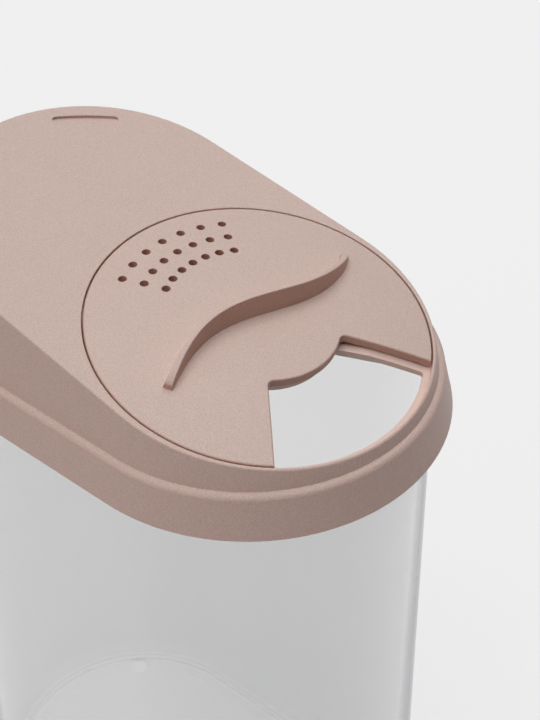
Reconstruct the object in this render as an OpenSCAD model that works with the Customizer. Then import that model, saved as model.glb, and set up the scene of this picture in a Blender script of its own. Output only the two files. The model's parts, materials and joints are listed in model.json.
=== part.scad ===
// Cereal keeper: a clear stadium-plan container with a lift-off lid. The lid's top slopes down to
// the pour end, where a domed disc turns in a recess and lines its fan-shaped cut-out up with the
// spout opening below it. Origin: centre of the base, on the surface the keeper stands on.
// X is across, the pour end is towards -Y, Z is up.

/* [Container] */
// Width of the container outside, at its rim
body_w = 94; // [84:0.2:110]
// Distance between the centres of the two end arcs
arc_span = 51.8; // [30:0.2:90]
// Height of the container from the surface to its rim
body_h = 200.9; // [90:0.1:300]
// Wall thickness of the container
body_wall = 1.6; // [1.2:0.1:2.4]
// Thickness of the container's floor
floor_t = 2.2; // [1.6:0.1:4]
// How much the wall leans in from rim to base, on each side
body_taper = 0.6; // [0.4:0.1:3]
// Outer radius of the rounded edge round the base
base_round = 5; // [3:0.5:8]
// Diameter of each moulded foot
foot_d = 7; // [4:0.5:10]
// Height of each moulded foot
foot_h = 0.8; // [0.5:0.1:1.5]

/* [Lid edge] */
// Height of the skirt from its lower edge to the shoulder
skirt_h = 12; // [9:0.1:14]
// Thickness of the skirt
skirt_wall = 2.2; // [1.6:0.1:2.6]
// How much the skirt flares out from shoulder to lower edge
skirt_flare = 2.2; // [0.5:0.1:3]
// Thickness of the flange that lies over the rim
flange_t = 1.8; // [1.4:0.1:2.4]
// Width of the rounded shoulder between skirt and sloping top
ledge_w = 1.9; // [1:0.1:3]
// Depth of the plug wall below the flange
plug_depth = 3.5; // [2:0.5:8]
// Thickness of the plug wall
plug_wall = 1.1; // [1:0.1:1.8]
// Gap between the plug wall and the container's wall
plug_gap = 0.3; // [0.2:0.05:0.5]

/* [Lid top] */
// Slope of the lid's top, in degrees
top_tilt = 10.7; // [5:0.1:12]
// Height of the top above the skirt's lower edge, over the near arc centre
top_h = 24.3; // [20:0.1:30]
// Thickness of the top
top_t = 2; // [1.5:0.1:3]
// Thickness of the wall round the raised top
crown_wall = 1.8; // [1.4:0.1:2.4]
// Draft of that wall, as inward lean for each unit of height
crown_draft = 0.18; // [0.08:0.01:0.2]
// Size of the rounding along the top's edge
top_round = 0.5; // [0.3:0.1:1.2]
// Size of the fillet where the wall meets the shoulder
foot_fillet = 0.3; // [0.2:0.1:1.2]
// Distance of the thumb groove's middle from the far arc centre
groove_r = 37.9; // [34:0.1:40]
// Direction of the groove's middle from the width direction
groove_angle = 50.5; // [35:0.5:70]
// Length of the groove between the centres of its round ends
groove_len = 16; // [8:0.5:24]
// Radius of the groove's bend
groove_bend = 75; // [36:1:200]
// Width and depth of the groove
groove_size = [2.4, 0.8]; // [0.4:0.1:4]

/* [Spout disc] */
// Diameter of the turning disc, where the top has room for it
disc_d = 87.6; // [74:0.2:88.4]
// Thickness of the disc
disc_t = 2.3; // [1.8:0.1:3]
// Rise of the disc's middle above its edge
disc_rise = 4.4; // [1:0.1:5]
// Shift of the disc's axis from the near arc centre towards the pour end
disc_shift = 3.4; // [2:0.1:5]
// Gap between the disc's edge and the recess
disc_gap = 0.4; // [0.3:0.1:0.8]
// Least width of the top left round the recess, at the pour end
rim_lip = 0.6; // [0.4:0.1:2]
// Rounding of the disc's upper edges
edge_round = 0.5; // [0.3:0.1:0.8]
// Gap between the disc and the seat below it
seat_gap = 0.3; // [0.2:0.05:0.5]
// Thickness of the seat
seat_t = 1.5; // [1.2:0.1:2.5]
// Wall thickness round the recess
pocket_wall = 1.5; // [1.2:0.1:2.5]
// Direction of each straight edge of the disc's cut-out, in degrees
fan_angles = [-134, -56.5]; // [-180:0.5:0]
// Radius of the solid hub inside the cut-out
hub_r = 20.3; // [16:0.1:26]
// Radius of the cut-out's inner corners
fan_corner = 1.6; // [0.8:0.1:3]
// Width of seat left showing inside the cut-out's right edge
seat_ledge = 2.2; // [1:0.1:4]
// Width of seat left showing inside the disc's edge, at the opening's outer end
seat_rim = 1.4; // [1:0.1:4]
// How far the spout opening reaches under the disc, at its left edge and at its hub
under_lap = [1.2, 1.6]; // [0:0.1:3]
// Radius of the spout opening's corners
opening_corner = 0.8; // [0.4:0.1:2]
// Diameter of the sprinkling holes
hole_d = 2.3; // [1.5:0.1:3]
// Radius of the outermost row of holes
hole_row_r = 36.7; // [33:0.1:38]
// Distance between the rows of holes
hole_row_step = 5.8; // [4:0.1:7]
// Number of rows of holes
hole_rows = 3; // [1:1:4]
// Number of holes in each row
holes_per_row = 7; // [3:1:9]
// Angle between neighbouring holes
hole_pitch = 9.3; // [8:0.1:12]
// Direction of the middle hole of each row
hole_middle = 84.8; // [80:0.1:100]

/* [Grip rib] */
// Length of the wave-shaped grip rib
grip_len = 68.4; // [50:0.2:74]
// Length of one full wave
grip_wave = 69; // [50:1:90]
// Place along the rib where the wave crosses over, from the disc's axis
grip_cross = 2.4; // [-6:0.1:6]
// How far the wave swings to each side
grip_swing = 4.1; // [0:0.1:6]
// Place of the rib's middle from the disc's axis, along the rib and across it
grip_middle = [1.2, 0.9]; // [-4:0.1:4]
// Height of the rib at its middle
grip_h = 6.3; // [3:0.1:9]
// Height left at the rib's square end and at its round end
grip_end_h = [1.3, 0.4]; // [0.3:0.1:2.5]
// How far the round end curls beyond the wave, and the length that curls
grip_curl = [0.9, 7.4]; // [0:0.1:12]
// Thickness of the rib at its foot
grip_foot_t = 2.7; // [2:0.1:4]
// Thickness of its crest at the middle, from where it widens towards both ends
grip_crest_t = 0.7; // [0.5:0.1:2]

/* [Pivot] */
// Diameter of the disc's stem
stem_d = 8.4; // [7:0.1:11]
// Running clearance of the stem in its bore, on the radius
stem_clear = 0.05; // [0.02:0.01:0.1]
// Depth of the collar round the bore, below the seat
collar_h = 5; // [3:0.5:8]
// Wall thickness of the collar
collar_wall = 2.2; // [1.6:0.1:3.5]
// Diameter of the washer that keeps the disc in
washer_d = 15; // [13:0.5:20]
// Thickness of the washer
washer_t = 1; // [0.8:0.1:2]
// Play between collar and washer
washer_gap = 0.3; // [0.15:0.05:0.5]
// Diameter of the screw's shank
screw_d = 3; // [2.5:0.1:4]
// Length of the screw under its head
screw_len = 8; // [6:0.5:10]

/* [Hidden] */
$fn = 96;
arc_steps = 40;
far = 400;
eps = 0.05;

// Container
body_r = body_w / 2;
base_r = body_r - body_taper;
mouth_r = body_r - body_wall;

// Lid edge, in the lid's own frame with z = 0 at the skirt's lower edge
rim_gap = 0.3;
rim_clear = 0.8;
flange_z = skirt_h - flange_t;
lid_z = body_h + rim_gap - flange_z;
shoulder_r = body_r + rim_clear + skirt_wall;
skirt_r = shoulder_r + skirt_flare;
crown_r = shoulder_r - ledge_w;
shoulder_round = ledge_w - 0.1;
plug_r = mouth_r - plug_gap;
plug_in_r = plug_r - plug_wall;
plug_z = flange_z - plug_depth;
plug_lead = 0.4;

// Lid top
slope = tan(top_tilt);
near_y = -arc_span / 2;
far_y = arc_span / 2;

// Spout disc, in its own frame: z = 0 at the top of its edge, +Z along its axis
disc_room = (edge_r(-90, near_y) - disc_shift) / cos(top_tilt) - rim_lip - disc_gap;
disc_r = min(disc_d / 2, disc_room);
recess_r = disc_r + disc_gap;
seat_z = -disc_t - seat_gap;
dome_r = (disc_r * disc_r + disc_rise * disc_rise) / (2 * disc_rise);
opening_r = disc_r - seat_rim;
recess_round = 0.2;
collar_z = disc_rise + seat_z - seat_t - collar_h;
bore_r = stem_d / 2 + stem_clear;
stem_z = collar_z - washer_gap;
screw_head_h = 1.8;
pilot_d = screw_d - 0.1;
grip_sink = 0.6;

// ---------- Shapes shared by the parts ----------

// A ring of stadium plan: revolves the children, drawn as radius and height, round both end arcs
// and runs them along both straight sides.
module stadium_ring() {
    translate([0, near_y, 0]) rotate([0, 0, 180]) rotate_extrude(angle = 180) children();
    translate([0, far_y, 0]) rotate_extrude(angle = 180) children();
    for (side = [0, 180])
        rotate([0, 0, side]) translate([0, far_y, 0]) rotate([90, 0, 0])
            linear_extrude(arc_span) children();
}

// A solid of stadium plan whose radius runs from r1 at z1 to r2 at z2
module stadium_block(r1, z1, r2, z2) {
    stadium_ring() polygon([[0, z1], [r1, z1], [r2, z2], [0, z2]]);
}

// Everything below the lid's top, lowered by drop; the top slopes down towards -Y
module under_top(drop) {
    translate([0, near_y, top_h]) rotate([top_tilt, 0, 0])
        translate([-far / 2, -far / 2, -drop - far]) cube(far);
}

// Carries the children from the disc's frame to the lid's frame
module on_disc_axis() {
    translate([0, near_y - disc_shift, top_h - disc_shift * slope]) rotate([top_tilt, 0, 0])
        children();
}

// The area inside the dome curve of the disc's top, lowered by drop, out to radius r
module dome_area(drop, r, floor_at) {
    intersection() {
        translate([0, disc_rise - dome_r - drop]) circle(r = dome_r, $fn = 720);
        translate([0, floor_at]) square([r, disc_rise + 1 - floor_at]);
    }
}

// How far a rounded corner's centre turns away from a straight edge drawn in by inset
function lean(corner, inset, r) = asin((corner + inset) / r);

// Points along an arc, each with the direction it faces; side is 180 where it faces the centre
function facing_arc(r, centre, from, to, steps, side) =
    [for (i = [0:steps])
        let (a = from + (to - from) * i / steps)
        [centre + r * dir(a), a + side]];

// The inner end of a fan-shaped outline, from its left edge round the hub to its right edge
function fan_inner(hub, angles, insets, corner) =
    let (a1 = angles[0] + lean(corner, insets[0], hub + corner),
         a2 = angles[1] - lean(corner, insets[1], hub + corner),
         hub_arc = facing_arc(hub, [0, 0], a1, a2, 18, 180))
    concat(
        facing_arc(corner, (hub + corner) * dir(a1), angles[0] - 90, a1 - 180, 4, 0),
        [for (i = [1:17]) hub_arc[i]],
        facing_arc(corner, (hub + corner) * dir(a2), a2 + 180, angles[1] + 90, 4, 0));

// A fan-shaped area between two radii and two directions, its straight edges drawn in by the
// insets and its four corners rounded
module fan(hub, outer, angles, insets, corner) {
    a1 = angles[0] + lean(corner, insets[0], outer - corner);
    a2 = angles[1] - lean(corner, insets[1], outer - corner);
    polygon(concat(
        [for (p = fan_inner(hub, angles, insets, corner)) p[0]],
        arc(corner, (outer - corner) * dir(a2), angles[1] + 90, a2, 4),
        arc(outer, [0, 0], a2, a1, 24),
        arc(corner, (outer - corner) * dir(a1), a1, angles[0] - 90, 4),
        [(outer - corner) * dir(a1) + corner * dir(angles[0] - 90)]));
}

function dir(a) = [cos(a), sin(a)];
function unit(v) = v / norm(v);

// Points along an arc about a centre, without its last one
function arc(r, centre, from, to, steps) =
    [for (i = [0:steps - 1]) centre + r * dir(from + (to - from) * i / steps)];

// A point at share s along the smooth bend from a to c that b pulls
function bend(a, b, c, s) = (1 - s) * (1 - s) * a + 2 * s * (1 - s) * b + s * s * c;

// A solid through n sections of m points each, closed by its first and last section
module loft(points, n, m) {
    sides = [for (i = [0:n - 2]) for (j = [0:m - 1])
        let (a = i * m + j, b = i * m + (j + 1) % m, c = a + m, d = b + m)
        each [[a, c, d], [a, d, b]]];
    polyhedron(points = points, faces = concat(
        [[for (j = [0:m - 1]) j]], sides, [[for (j = [m - 1:-1:0]) (n - 1) * m + j]]),
        convexity = 6);
}

// ---------- Container ----------

module body_outside() {
    stadium_ring() polygon(concat(
        [[0, foot_h]],
        [for (a = [-90:10:0]) [base_r - base_round, foot_h + base_round] + base_round * dir(a)],
        [[body_r, body_h], [0, body_h]]));
}

module body_inside() {
    inner_round = base_round - body_wall;
    stadium_ring() polygon(concat(
        [[0, foot_h + floor_t]],
        [for (a = [-90:10:0])
            [base_r - base_round, foot_h + floor_t + inner_round] + inner_round * dir(a)],
        [[mouth_r, body_h + 1], [0, body_h + 1]]));
}

module container_body() {
    color([0.84, 0.85, 0.87, 0.35]) {
        difference() {
            body_outside();
            body_inside();
        }
        for (x = [-1, 1], y = [-1, 1])
            translate([x * (base_r - base_round - foot_d / 2) * 0.7,
                       y * (far_y + (base_r - base_round - foot_d / 2) * 0.7), 0])
                cylinder(d1 = foot_d - 1, d2 = foot_d, h = foot_h + eps);
    }
}

// ---------- Lid shell ----------

// Skirt, shoulder, flange and plug wall, as one section drawn from the skirt's lower edge
module lid_edge() {
    top = skirt_h;
    stadium_ring() polygon(concat(
        [[skirt_r, 0]],
        [for (a = [0:15:90])
            [shoulder_r - shoulder_round, top - shoulder_round] + shoulder_round * dir(a)],
        [[plug_in_r, top],
         [plug_in_r, plug_z],
         [plug_r - plug_lead, plug_z],
         [plug_r, plug_z + 2 * plug_lead],
         [plug_r, flange_z],
         [shoulder_r - skirt_wall, flange_z],
         [skirt_r - skirt_wall, 0]]));
}

// Where the raised top's edge lies, out from the arc centre cy in direction a
function edge_r(a, cy) =
    (crown_r - crown_draft * (top_h + slope * (cy - near_y) - skirt_h))
    / (1 + crown_draft * slope * sin(a));
function edge_z(a, cy) = top_h + slope * (cy - near_y + edge_r(a, cy) * sin(a));

// The raised top's section in direction a: foot fillet, drafted wall and rounded edge
function crown_section(a, cy) =
    let (foot = [crown_r, skirt_h - eps],
         edge = [edge_r(a, cy), edge_z(a, cy)],
         up = unit([-crown_draft, 1]),
         inward = unit([-1, -slope * sin(a)]))
    concat(
        [foot + [foot_fillet, -1]],
        [for (s = [0:0.25:1])
            bend(foot + [foot_fillet, 0], foot, foot + foot_fillet * up, s)],
        [for (s = [0:0.2:1])
            bend(edge - top_round * up, edge, edge + top_round * inward, s)]);

// The outside of the raised top, lofted through one section for each direction
module crown_outside() {
    stations = concat(
        [for (i = [0:arc_steps]) [180 + 180 * i / arc_steps, near_y]],
        [for (i = [0:arc_steps]) [180 * i / arc_steps, far_y]]);
    sections = [for (s = stations) crown_section(s[0], s[1])];
    n = len(stations);
    m = len(sections[0]);
    points = [for (i = [0:n - 1]) for (p = sections[i])
        [p[0] * cos(stations[i][0]), stations[i][1] + p[0] * sin(stations[i][0]), p[1]]];
    sides = [for (i = [0:n - 1]) for (j = [0:m - 2])
        let (a = i * m + j, b = ((i + 1) % n) * m + j)
        each [[a, b + 1, b], [a, a + 1, b + 1]]];
    polyhedron(points = points, faces = concat(
        [[for (i = [0:n - 1]) i * m]],
        sides,
        [[for (i = [n - 1:-1:0]) i * m + m - 1]]), convexity = 4);
}

// The hollow under the raised top
module crown_inside() {
    height = 60;
    intersection() {
        stadium_block(crown_r - crown_wall, skirt_h,
                      crown_r - crown_wall - crown_draft * height, skirt_h + height);
        under_top(top_t);
    }
}

// The disc's recess with its seat, as the solid left in the hollow under the top
module pocket() {
    rotate_extrude() difference() {
        translate([0, seat_z - seat_t]) square([recess_r + pocket_wall, far / 8]);
        dome_area(-(seat_z - seat_t), recess_r + pocket_wall + 1, seat_z - seat_t - 1);
    }
    translate([0, 0, collar_z])
        cylinder(r = bore_r + collar_wall, h = disc_rise + seat_z - collar_z - seat_t / 2);
}

// What is cut from the lid for the disc: the recess down to the domed seat, and its bore
module recess() {
    rotate_extrude() difference() {
        polygon(concat(
            [[0, seat_z - 1], [recess_r, seat_z - 1]],
            [for (a = [180:-30:90])
                [recess_r + recess_round, -recess_round] + recess_round * dir(a)],
            [[recess_r + recess_round, disc_rise + 9], [0, disc_rise + 9]]));
        dome_area(-seat_z, recess_r + 1, seat_z - 1);
    }
    translate([0, 0, collar_z - 1]) cylinder(r = bore_r, h = far / 8);
}

// The spout opening through the seat. It leaves a ledge along the cut-out's right edge and its
// outer end, and reaches under the disc at its left edge and its hub.
module spout_opening() {
    translate([0, 0, seat_z - seat_t - 4])
        linear_extrude(disc_rise + seat_t + 8)
            fan(hub_r - under_lap[1], opening_r, fan_angles, [-under_lap[0], seat_ledge],
                opening_corner);
}

// Two shallow curved grooves in the top, near the far edge, one to each side
module thumb_grooves() {
    half_w = groove_size[0] / 2;
    sweep = groove_len / 2 / groove_bend * 180 / PI;
    ends = [groove_angle - sweep, groove_angle + sweep];
    translate([0, near_y, top_h]) rotate([top_tilt, 0, 0])
        translate([0, arc_span / cos(top_tilt), -groove_size[1]]) linear_extrude(5)
            for (side = [0, 1])
                mirror([side, 0]) translate((groove_r - groove_bend) * dir(groove_angle)) {
                    polygon(concat(
                        arc(groove_bend - half_w, [0, 0], ends[0], ends[1], 8),
                        [(groove_bend - half_w) * dir(ends[1])],
                        arc(groove_bend + half_w, [0, 0], ends[1], ends[0], 8),
                        [(groove_bend + half_w) * dir(ends[0])]));
                    for (a = ends)
                        translate(groove_bend * dir(a)) circle(r = half_w, $fn = 24);
                }
}

module lid_shell() {
    color([0.78, 0.70, 0.66]) translate([0, 0, lid_z]) {
        lid_edge();
        difference() {
            crown_outside();
            difference() {
                union() {
                    crown_inside();
                    stadium_block(plug_in_r, 0, plug_in_r, skirt_h + eps);
                }
                on_disc_axis() pocket();
            }
            on_disc_axis() recess();
            on_disc_axis() spout_opening();
            thumb_grooves();
        }
    }
}

// ---------- Spout disc ----------

function dome_z(r) = disc_rise - dome_r + sqrt(dome_r * dome_r - r * r);

// The disc's section from its axis outwards: domed above and below, with a rounded top edge
module disc_section() {
    steps = 24;
    top_r = disc_r - edge_round;
    polygon(concat(
        [for (i = [0:steps]) let (r = top_r * i / steps) [r, dome_z(r)]],
        [for (s = [0.25:0.25:1])
            bend([top_r, dome_z(top_r)], [disc_r, 0], [disc_r, -edge_round], s)],
        [for (i = [steps:-1:0]) let (r = disc_r * i / steps) [r, dome_z(r) - disc_t]]));
}

// What is cut off along the cut-out's upper edge, to round it: lofted from the left straight
// edge, round the hub and out along the right one
module fan_rounding() {
    turn = fan_inner(hub_r, fan_angles, [0, 0], fan_corner);
    from_r = norm(turn[0][0]);
    radii = [for (i = [1:8]) from_r + (disc_r + 1 - from_r) * i / 8];
    path = concat(
        [for (i = [7:-1:0]) [radii[i] * dir(fan_angles[0]), fan_angles[0] - 90]],
        turn,
        [for (r = radii) [r * dir(fan_angles[1]), fan_angles[1] + 90]]);
    reach = 0.3;
    bow = [for (a = [90:30:180]) [edge_round, -edge_round] + edge_round * dir(a)];
    above = bow[1] + 1.4 * (bow[0] - bow[1]);
    below = bow[2] + 1.3 * (bow[3] - bow[2]);
    section = [[-reach, below[1]], [-reach, reach], [above[0], reach],
               above, bow[1], bow[2], below];
    n = len(path);
    m = len(section);
    points = [for (p = path)
        let (z0 = dome_z(norm(p[0] + edge_round * dir(p[1]))))
        for (q = section)
            let (xy = p[0] + q[0] * dir(p[1]))
            [xy[0], xy[1], z0 + q[1]]];
    loft(points, n, m);
}

// Middle line of the grip rib, one full wave with a curl at its round end: x along, y across
function wave(x) = 360 * (x - grip_cross) / grip_wave;
function curl(x) = max(0, (x - grip_middle[0] - grip_len / 2) / grip_curl[1] + 1);
function grip_y(x) = grip_middle[1] - grip_swing * sin(wave(x)) + grip_curl[0] * pow(curl(x), 2);
function grip_turn(x) =
    atan(2 * grip_curl[0] * curl(x) / grip_curl[1]
         - grip_swing * 2 * PI / grip_wave * cos(wave(x)));
function grip_top(x) =
    let (share = 2 * (x - grip_middle[0]) / grip_len,
         end_h = grip_end_h[0] + (grip_end_h[1] - grip_end_h[0]) * (share + 1) / 2)
    end_h + (grip_h - end_h) * pow(max(0, 1 - share * share), 0.6);
function grip_end_round(x) =
    let (past = x - grip_middle[0] - grip_len / 2 + grip_foot_t / 2)
    past < 0 ? 1 : sqrt(max(0.04, 1 - pow(2 * past / grip_foot_t, 2)));

// A wave-shaped rib across the disc, lofted along its middle line, its two sides drafted up to a
// rounded crest; one end is square and the other is round
module grip_rib() {
    steps = 44;
    crest_round = 0.85 * grip_crest_t / 2;
    stations = [for (i = [0:steps]) grip_middle[0] - grip_len / 2 * cos(180 * i / steps)];
    function section(x) =
        let (z0 = dome_z(norm([x, grip_y(x)])),
             top = grip_top(x),
             crest = (grip_foot_t - (grip_foot_t - grip_crest_t) * top / grip_h) / 2,
             right = concat(
                [[grip_foot_t / 2, z0 - grip_sink]],
                [for (a = [0:30:90])
                    [crest - crest_round, z0 + top - crest_round] + crest_round * dir(a)]),
             m = len(right))
        concat(right, [for (k = [m - 1:-1:0]) [-right[k][0], right[k][1]]]);
    sections = [for (x = stations) section(x)];
    n = len(stations);
    m = len(sections[0]);
    points = [for (i = [0:n - 1]) for (p = sections[i])
        let (x = stations[i], t = grip_turn(x))
        let (side = p[0] * grip_end_round(x))
        [x - side * sin(t), grip_y(x) + side * cos(t), p[1]]];
    loft(points, n, m);
}

module sprinkle_holes() {
    middle = (holes_per_row - 1) / 2;
    for (row = [0:hole_rows - 1], i = [0:holes_per_row - 1])
        rotate([0, 0, hole_middle + hole_pitch * (i - middle)])
            translate([hole_row_r - row * hole_row_step, 0, -disc_t - 1])
                cylinder(d = hole_d, h = disc_t + disc_rise + 2, $fn = 32);
}

module spout_disc() {
    color([0.79, 0.71, 0.67]) translate([0, 0, lid_z]) on_disc_axis() {
        difference() {
            union() {
                rotate_extrude() disc_section();
                grip_rib();
            }
            translate([0, 0, -disc_t - 1]) linear_extrude(disc_t + disc_rise + 2)
                fan(hub_r, disc_r + 2, fan_angles, [0, 0], fan_corner);
            fan_rounding();
            sprinkle_holes();
        }
        difference() {
            translate([0, 0, stem_z])
                cylinder(d = stem_d, h = disc_rise - disc_t / 2 - stem_z);
            translate([0, 0, stem_z - 1]) cylinder(d = pilot_d, h = screw_len + 1, $fn = 48);
        }
    }
}

// ---------- Pivot ----------

// The washer under the collar, held to the disc's stem
module pivot_washer() {
    color([0.80, 0.80, 0.81]) translate([0, 0, lid_z]) on_disc_axis()
        translate([0, 0, stem_z - washer_t]) difference() {
            cylinder(d = washer_d, h = washer_t);
            translate([0, 0, -1]) cylinder(d = screw_d + 0.4, h = washer_t + 2, $fn = 48);
        }
}

// The screw up into the stem, its head below the washer, with a cross recess
module pivot_screw() {
    head_d = 2 * screw_d;
    head_z = stem_z - washer_t - screw_head_h;
    color([0.72, 0.72, 0.73]) translate([0, 0, lid_z]) on_disc_axis() difference() {
        union() {
            translate([0, 0, head_z]) cylinder(d1 = head_d - 1, d2 = head_d, h = screw_head_h);
            translate([0, 0, head_z])
                cylinder(d = pilot_d, h = screw_head_h + screw_len - 0.5, $fn = 48);
        }
        for (a = [0, 90])
            rotate([0, 0, a]) translate([-head_d * 0.3, -0.35, head_z - 1])
                cube([head_d * 0.6, 0.7, 2]);
    }
}

container_body();
lid_shell();
spout_disc();
pivot_washer();
pivot_screw();
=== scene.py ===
import json
import math

import bmesh
import bpy
from mathutils import Matrix, Vector

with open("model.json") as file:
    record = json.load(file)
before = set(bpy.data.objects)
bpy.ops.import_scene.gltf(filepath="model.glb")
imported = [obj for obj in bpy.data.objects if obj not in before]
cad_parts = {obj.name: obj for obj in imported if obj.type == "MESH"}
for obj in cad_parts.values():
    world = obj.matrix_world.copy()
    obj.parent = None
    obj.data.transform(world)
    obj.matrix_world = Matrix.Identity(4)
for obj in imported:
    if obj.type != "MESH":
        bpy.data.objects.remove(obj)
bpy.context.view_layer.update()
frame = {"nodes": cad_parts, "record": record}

nodes = frame["nodes"]
scene = bpy.context.scene


# ---------------------------------------------------------------- Studio
# A pale sweep under three broad, soft lamps, as on a product table: most of
# the light falls straight down, and some comes from behind and from the left.
# The sky gives no light. The sweep glows a little of itself.

BACKDROP = 0.863
SWEEP_GLOW = 0.60
SWEEP_TONE = 0.325
FLOOR_BOUNCE = 0.62
SWEEP_SIZE = 6
LAMPS = (
    # name, strength, spread in degrees, where it shines from
    ("overhead", 1.90, 60, (0.0, 0.0, 1.0)),
    ("back", 0.46, 50, (0.611, 0.272, 0.743)),
    ("side", 0.71, 60, (-0.837, 0.224, 0.500)),
)


class Wire:
    """One socket among a finish's nodes. Sums on it add Math nodes."""

    def __init__(self, tree, socket=None):
        self.tree = tree
        self.socket = socket

    def node(self, kind, settings=None, inputs=None, output=0):
        made = self.tree.nodes.new(kind)
        for name, value in (settings or {}).items():
            if name != "stops":
                setattr(made, name, value)
                continue
            stops = made.color_ramp.elements
            while len(stops) < len(value):
                stops.new(0.5)
            for stop, (place, level) in zip(stops, value):
                stop.position = place
                stop.color = (level, level, level, 1)
        for name, value in (inputs or {}).items():
            if isinstance(value, Wire):
                self.tree.links.new(value.socket, made.inputs[name])
            else:
                made.inputs[name].default_value = value
        if made.outputs:
            return Wire(self.tree, made.outputs[output])

    def sum(self, operation, *values):
        settings = {"operation": operation}
        return self.node("ShaderNodeMath", settings, dict(enumerate(values)))

    def blend(self, first, second):
        """first where this wire is 0 and second where it is 1."""
        inputs = {0: self, 6: first, 7: second}
        return self.node("ShaderNodeMix", {"data_type": "RGBA"}, inputs, 2)

    def __add__(self, other):
        return self.sum("ADD", self, other)

    def __sub__(self, other):
        return self.sum("SUBTRACT", self, other)

    def __rsub__(self, other):
        return self.sum("SUBTRACT", other, self)

    def __mul__(self, other):
        return self.sum("MULTIPLY", self, other)

    def __pow__(self, other):
        return self.sum("POWER", self, other)

    def __rpow__(self, other):
        return self.sum("POWER", other, self)

    def __lt__(self, other):
        return self.sum("LESS_THAN", self, other)

    def __gt__(self, other):
        return self.sum("GREATER_THAN", self, other)

    __radd__ = __add__
    __rmul__ = __mul__


def colour(red, green, blue):
    return (red, green, blue, 1)


def grey(level):
    return (level, level, level, 1)


def seen_directly(wire):
    """1 for what the camera, a gloss or a clear wall looks at, else 0."""
    path = "ShaderNodeLightPath"
    seen = wire.node(path, output="Is Camera Ray")
    gloss = wire.node(path, output="Is Glossy Ray")
    clear = wire.node(path, output="Is Transmission Ray")
    return seen.sum("MAXIMUM", seen.sum("MAXIMUM", seen, gloss), clear)


world = bpy.data.worlds.new("studio")
world.use_nodes = True
world.node_tree.nodes.clear()
wire = Wire(world.node_tree)
sky = seen_directly(wire).blend(grey(0), grey(BACKDROP))
glow = wire.node("ShaderNodeBackground", inputs={"Color": sky})
wire.node("ShaderNodeOutputWorld", inputs={"Surface": glow})
scene.world = world

bm = bmesh.new()
bmesh.ops.create_grid(bm, x_segments=1, y_segments=1, size=SWEEP_SIZE)
mesh = bpy.data.meshes.new("sweep")
bm.to_mesh(mesh)
bm.free()
sweep = bpy.data.objects.new("sweep", mesh)
scene.collection.objects.link(sweep)

paper = bpy.data.materials.new("sweep_paper")
paper.use_nodes = True
paper.node_tree.nodes.clear()
wire = Wire(paper.node_tree)
seen = seen_directly(wire)
inputs = {
    "Base Color": seen.blend(grey(FLOOR_BOUNCE), grey(SWEEP_TONE)),
    "Emission Color": seen.blend(grey(0), grey(SWEEP_GLOW)),
    "Emission Strength": 1.0,
    "Roughness": 0.9,
    "Specular IOR Level": 0.0,
}
sheet = wire.node("ShaderNodeBsdfPrincipled", inputs=inputs)
wire.node("ShaderNodeOutputMaterial", inputs={"Surface": sheet})
mesh.materials.append(paper)

for name, strength, spread, source in LAMPS:
    lamp = bpy.data.lights.new(name, "SUN")
    lamp.energy = strength
    lamp.angle = math.radians(spread)
    lit = bpy.data.objects.new(name, lamp)
    lit.rotation_euler = Vector(source).to_track_quat("Z", "Y").to_euler()
    scene.collection.objects.link(lit)

scene.view_settings.view_transform = "Standard"

# The camera stands off the keeper's front left corner, above the lid, and
# looks down on the pour end. The picture is 540 wide and 720 high.

FRAME_SIDE = 720
FOCAL_PIXELS = 1765
HORIZON_ROW = 240
CAMERA_PLACE = Vector((-0.2568, -0.2533, 0.4937))
HEADING, PITCH, ROLL = -49.39, -36.45, -0.38

lens = bpy.data.cameras.new("camera")
lens.sensor_fit = "AUTO"
lens.sensor_width = 36
lens.lens = FOCAL_PIXELS / FRAME_SIDE * lens.sensor_width
lens.shift_y = (HORIZON_ROW - FRAME_SIDE / 2) / FRAME_SIDE
lens.clip_start, lens.clip_end = 0.01, 30
camera = bpy.data.objects.new("camera", lens)
turn = Matrix.Rotation(math.radians(HEADING), 4, "Z")
tip = Matrix.Rotation(math.radians(90 + PITCH), 4, "X")
lean = Matrix.Rotation(math.radians(ROLL), 4, "Z")
camera.matrix_world = Matrix.Translation(CAMERA_PLACE) @ turn @ tip @ lean
scene.collection.objects.link(camera)
scene.camera = camera


# --------------------------------------------------------- Container body
# A tall oval beaker of clear polypropylene, injection moulded in one shot.
# Its wall is polished, with the faint waviness of the flow into the mould.

# The wall's own grey, and the pale grey that it is painted where light stands
# in: a painted reflection as it turns from the eye, painted light where it
# lies flat.
CLEAR_DEEP = (0.30, 0.305, 0.325)
CLEAR_PAINTED_LIGHT = (0.84, 0.84, 0.85)
# Painted edge shade: the bluish grey of the outer wall near its outline.
CLEAR_EDGE_SHADE = (0.34, 0.36, 0.47)
CLEAR_ALPHA = 0.15
# Painted edge shade: the extra veil of the outer wall near its outline.
EDGE_SHADE_ALPHA = 0.50
# Painted light: the veil taken off faces that lie flat, so the beaker's floor
# shows paler under the lid's shade.
FLAT_PAINTED_LIGHT_ALPHA = 0.05
PLASTIC_IOR = 1.49
EDGE_BLEND = 0.35
# (place, level) stops: how far the wall turns from the eye, or lies flat.
# Turned from the eye the wall is painted paler, a painted reflection, and near
# its outline darker, a painted edge shade; lying flat it is painted paler, a
# painted light.
PAINTED_REFLECTION_FACING = ((0.12, 0.0), (0.60, 1.0))
PAINTED_LIGHT_FLAT = ((0.9, 0.0), (1.0, 1.0))
EDGE_SHADE_FACING = ((0.63, 0.0), (0.76, 1.0))
HAZE_SIZE = 0.03
CLEAR_ROUGHNESS = 0.08
HAZE_ROUGHNESS = 0.08
WAVE_SIZE = 0.045
WAVE_DEPTH = 0.0004
# from the middle to the end arcs' axes, and from those to the wall's middle
HALF_SPAN = 0.0259
WALL_MIDDLE = 0.0459
BASE_TOP = 0.0075
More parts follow.
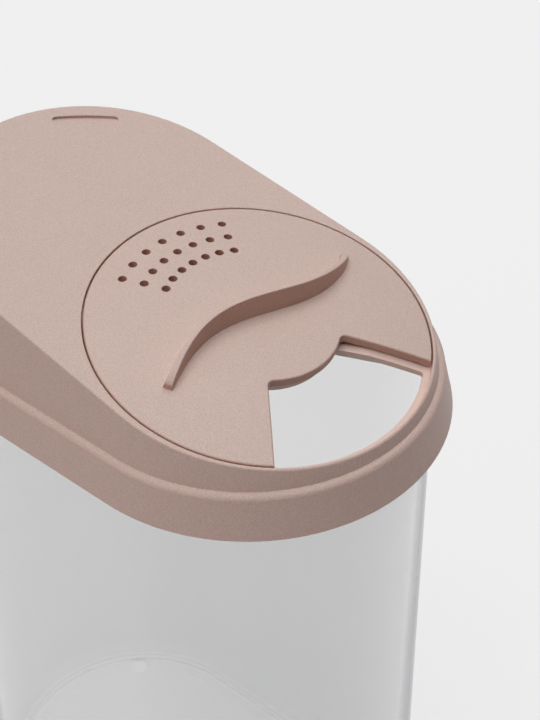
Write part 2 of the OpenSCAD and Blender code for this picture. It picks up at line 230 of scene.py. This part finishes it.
# brings the rings' distances into the ramp, which runs from 0 to 1
RING_SCALE = 20
BASE_RINGS = (
    # distance from the end arcs' axes, and how much the base veils there
    (0.0364, 0.0),
    (0.0370, 0.04),
    (0.0376, 0.0),
    (0.0398, 0.0),
    (0.0405, 0.15),
    (0.0413, 0.02),
    (0.0440, 0.02),
    (0.0448, 0.0),
)


def finish(name):
    """A new material, its first wire, and the call that closes it."""
    material = bpy.data.materials.new(name)
    material.use_nodes = True
    material.node_tree.nodes.clear()
    wire = Wire(material.node_tree)

    def close(**sockets):
        inputs = {k.replace("_", " "): v for k, v in sockets.items()}
        inputs = {k.replace("Ior", "IOR"): v for k, v in inputs.items()}
        shader = wire.node("ShaderNodeBsdfPrincipled", inputs=inputs)
        wire.node("ShaderNodeOutputMaterial", inputs={"Surface": shader})
        return material

    return wire, close


def place(wire):
    return wire.node("ShaderNodeTexCoord", output="Object")


def speckle(wire, size, detail=2.0):
    """Even noise whose lumps are about size metres across."""
    inputs = {"Vector": place(wire), "Scale": 1 / size, "Detail": detail}
    return wire.node("ShaderNodeTexNoise", inputs=inputs)


def relief(wire, height, depth):
    """A Bump node. depth is how high a full step of height stands, in m."""
    inputs = {"Height": height, "Distance": depth, "Strength": 1.0}
    return wire.node("ShaderNodeBump", inputs=inputs)


def ramp(wire, value, *stops):
    """value, carried through straight lines between (place, level) stops."""
    return wire.node("ShaderNodeValToRGB", {"stops": stops}, {"Fac": value})


def dress(name, material):
    """Gives the CAD node its one finish."""
    nodes[name].data.materials.clear()
    nodes[name].data.materials.append(material)


wire, close = finish("clear_polypropylene")
spot = {"Vector": place(wire)}
split = "ShaderNodeSeparateXYZ"
x, y, z = [wire.node(split, inputs=spot, output=k) for k in "XYZ"]
beyond = wire.sum("MAXIMUM", wire.sum("ABSOLUTE", y) - HALF_SPAN, 0.0)
reach = (x * x + beyond * beyond) ** 0.5
outer = reach > WALL_MIDDLE
rings = [(far * RING_SCALE, level) for far, level in BASE_RINGS]
ring = ramp(wire, reach * RING_SCALE, *rings) * (z < BASE_TOP)

edge = {"Blend": EDGE_BLEND}
facing = wire.node("ShaderNodeLayerWeight", inputs=edge, output="Facing")
out = wire.node("ShaderNodeTexCoord", output="Normal")
flat = wire.node(split, inputs={"Vector": out}, output="Z")
flat = wire.sum("ABSOLUTE", flat)
# Painted reflection: the wall is painted paler as it turns from the eye.
pale = ramp(wire, facing, *PAINTED_REFLECTION_FACING)
# Painted light: faces that lie flat, such as the beaker's floor, are painted
# paler too.
pale = wire.sum("MAXIMUM", pale, ramp(wire, flat, *PAINTED_LIGHT_FLAT))
# Painted edge shade: near its outline the outer wall is painted a denser
# bluish grey.
edge_shade = ramp(wire, facing, *EDGE_SHADE_FACING) * outer
haze = speckle(wire, HAZE_SIZE)
tone = pale.blend(colour(*CLEAR_DEEP), colour(*CLEAR_PAINTED_LIGHT))
body_clear = close(
    Base_Color=edge_shade.blend(tone, colour(*CLEAR_EDGE_SHADE)),
    Roughness=haze * HAZE_ROUGHNESS + CLEAR_ROUGHNESS,
    Ior=PLASTIC_IOR,
    # Alpha: denser near the outline, a painted edge shade, and clearer on flat
    # faces, a painted light.
    Alpha=edge_shade * EDGE_SHADE_ALPHA + ring - flat * FLAT_PAINTED_LIGHT_ALPHA + CLEAR_ALPHA,
    Normal=relief(wire, speckle(wire, WAVE_SIZE), WAVE_DEPTH),
)
dress("container_body", body_clear)


# ------------------------------------------------------------------- Lid
# One moulding in dusty pink polypropylene. Its outer face is spark eroded
# to a fine matt grain, and the seat under the disc is left smooth. Its walls
# are painted a deeper pink than its top, a painted shade, and the seat is
# painted paler, a painted light where the disc's shade falls.

PINK = (0.635, 0.478, 0.422)
# Painted shade: the deeper pink that the lid's walls are painted.
WALL_SHADE_PINK = (0.635, 0.448, 0.390)
# the darkest and the palest fleck, as shares of the pink
TINTS = (0.89, 1.11)
GRAIN_SIZE = 0.0003
GRAIN_DEPTH = 0.00012
GRAIN_SPREAD = ((0.35, 0.0), (0.65, 1.0))
CLOUD_SIZE = 0.02
CLOUD_SHARE = 0.1
# How the painted wall shade gives way to the top's pink as a face turns up.
WALL_TO_TOP = ((0.55, 0.0), (0.93, 1.0))
MATT_ROUGHNESS = 0.42
GRAIN_ROUGHNESS = 0.12
# the light that goes a little way into the plastic: tint, share and reach
DEEP_TINT = (1.0, 0.35, 0.2)
DEEP_SHARE = 0.1
DEEP_REACH = 0.0015
# Painted light: the paler pink that the recess under the disc is painted,
# where the disc's shade falls.
SEAT_PAINTED_LIGHT = (0.75, 0.565, 0.50)
SEAT_POLISH = 0.15
SEAT_REACH = 0.0443


def dot(wire, first, second):
    """The dot product of two vectors or wires."""
    settings = {"operation": "DOT_PRODUCT"}
    inputs = {0: first, 1: second}
    return wire.node("ShaderNodeVectorMath", settings, inputs, "Value")


def tinted(pink, tint):
    return colour(*[level * tint for level in pink])


def matt_pink(name, shaded_side_pink, up, seat=None):
    """The lid's pink, with a deeper pink painted on the walls that stand along
    up, a painted shade.

    seat makes, from a wire, the mask of where the moulding is left smooth and
    painted paler, a painted light.
    """
    wire, close = finish(name)
    out = wire.node("ShaderNodeTexCoord", output="Normal")
    flat = dot(wire, out, up)
    flat = ramp(wire, wire.sum("ABSOLUTE", flat), *WALL_TO_TOP)
    grain = speckle(wire, GRAIN_SIZE, 1.0)
    fleck = ramp(wire, grain, *GRAIN_SPREAD) * (1 - CLOUD_SHARE)
    fleck = fleck + speckle(wire, CLOUD_SIZE) * CLOUD_SHARE
    # Walls get the deeper pink, a painted shade, and tops get the pink.
    deep, pale = [
        flat.blend(tinted(shaded_side_pink, tint), tinted(PINK, tint))
        for tint in TINTS
    ]
    tone = fleck.blend(deep, pale)
    rough = grain * GRAIN_ROUGHNESS + MATT_ROUGHNESS
    if seat:
        # Painted light: the seat is painted a paler pink; its smoothness is
        # real.
        tone = seat(wire).blend(tone, colour(*SEAT_PAINTED_LIGHT))
        rough = rough - seat(wire) * SEAT_POLISH
    return close(
        Base_Color=tone,
        Roughness=rough,
        Ior=PLASTIC_IOR,
        Subsurface_Weight=DEEP_SHARE,
        Subsurface_Radius=DEEP_TINT,
        Subsurface_Scale=DEEP_REACH,
        Normal=relief(wire, grain, GRAIN_DEPTH),
    )


joints = frame["record"]["behaviour"]["joints"]
disc_turn = [joint for joint in joints if joint["name"] == "disc_turn"][0]


def below_disc(wire):
    """1 in the recess that the disc turns in, about its joint's axis."""
    off = {0: place(wire), 1: disc_turn["pos_m"]}
    off = wire.node("ShaderNodeVectorMath", {"operation": "SUBTRACT"}, off)
    rise = dot(wire, off, disc_turn["axis"])
    return dot(wire, off, off) - rise * rise < SEAT_REACH**2


lid_finish = matt_pink("lid_polypropylene", WALL_SHADE_PINK, (0, 0, 1), below_disc)
dress("lid_shell", lid_finish)


# ------------------------------------------------------------ Spout disc
# A domed disc moulded in the same pink, with the same grain. Its sides, the
# rib's faces among them, are painted a deep pink, a painted shade that also
# darkens and widens the gap's line round it. It sits in the lid's recess on
# its own stem, and the wave shaped rib turns it.

# Painted shade: the deep pink that the disc's sides and the rib's faces are
# painted.
DISC_SIDE_SHADE_PINK = (0.550, 0.320, 0.250)

disc_finish = matt_pink("disc_polypropylene", DISC_SIDE_SHADE_PINK, disc_turn["axis"])
dress("spout_disc", disc_finish)


# ------------------------------------------------------- Washer and screw
# Stainless steel, stamped and turned. The washer lies under the lid's collar,
# and the screw goes up through it into the disc's stem and holds it there.

DULL_STEEL = (0.50, 0.49, 0.47)
BRIGHT_STEEL = (0.62, 0.61, 0.59)
SCUFF_SIZE = 0.0009
SCUFF_DEPTH = 0.00001
SCUFF_ROUGHNESS = 0.2
STEEL_ROUGHNESS = 0.25

wire, close = finish("stainless_steel")
scuff = speckle(wire, SCUFF_SIZE)
steel = close(
    Base_Color=scuff.blend(colour(*DULL_STEEL), colour(*BRIGHT_STEEL)),
    Metallic=1.0,
    Roughness=scuff * SCUFF_ROUGHNESS + STEEL_ROUGHNESS,
    Normal=relief(wire, scuff, SCUFF_DEPTH),
)
for name in ("pivot_washer", "pivot_screw"):
    dress(name, steel)
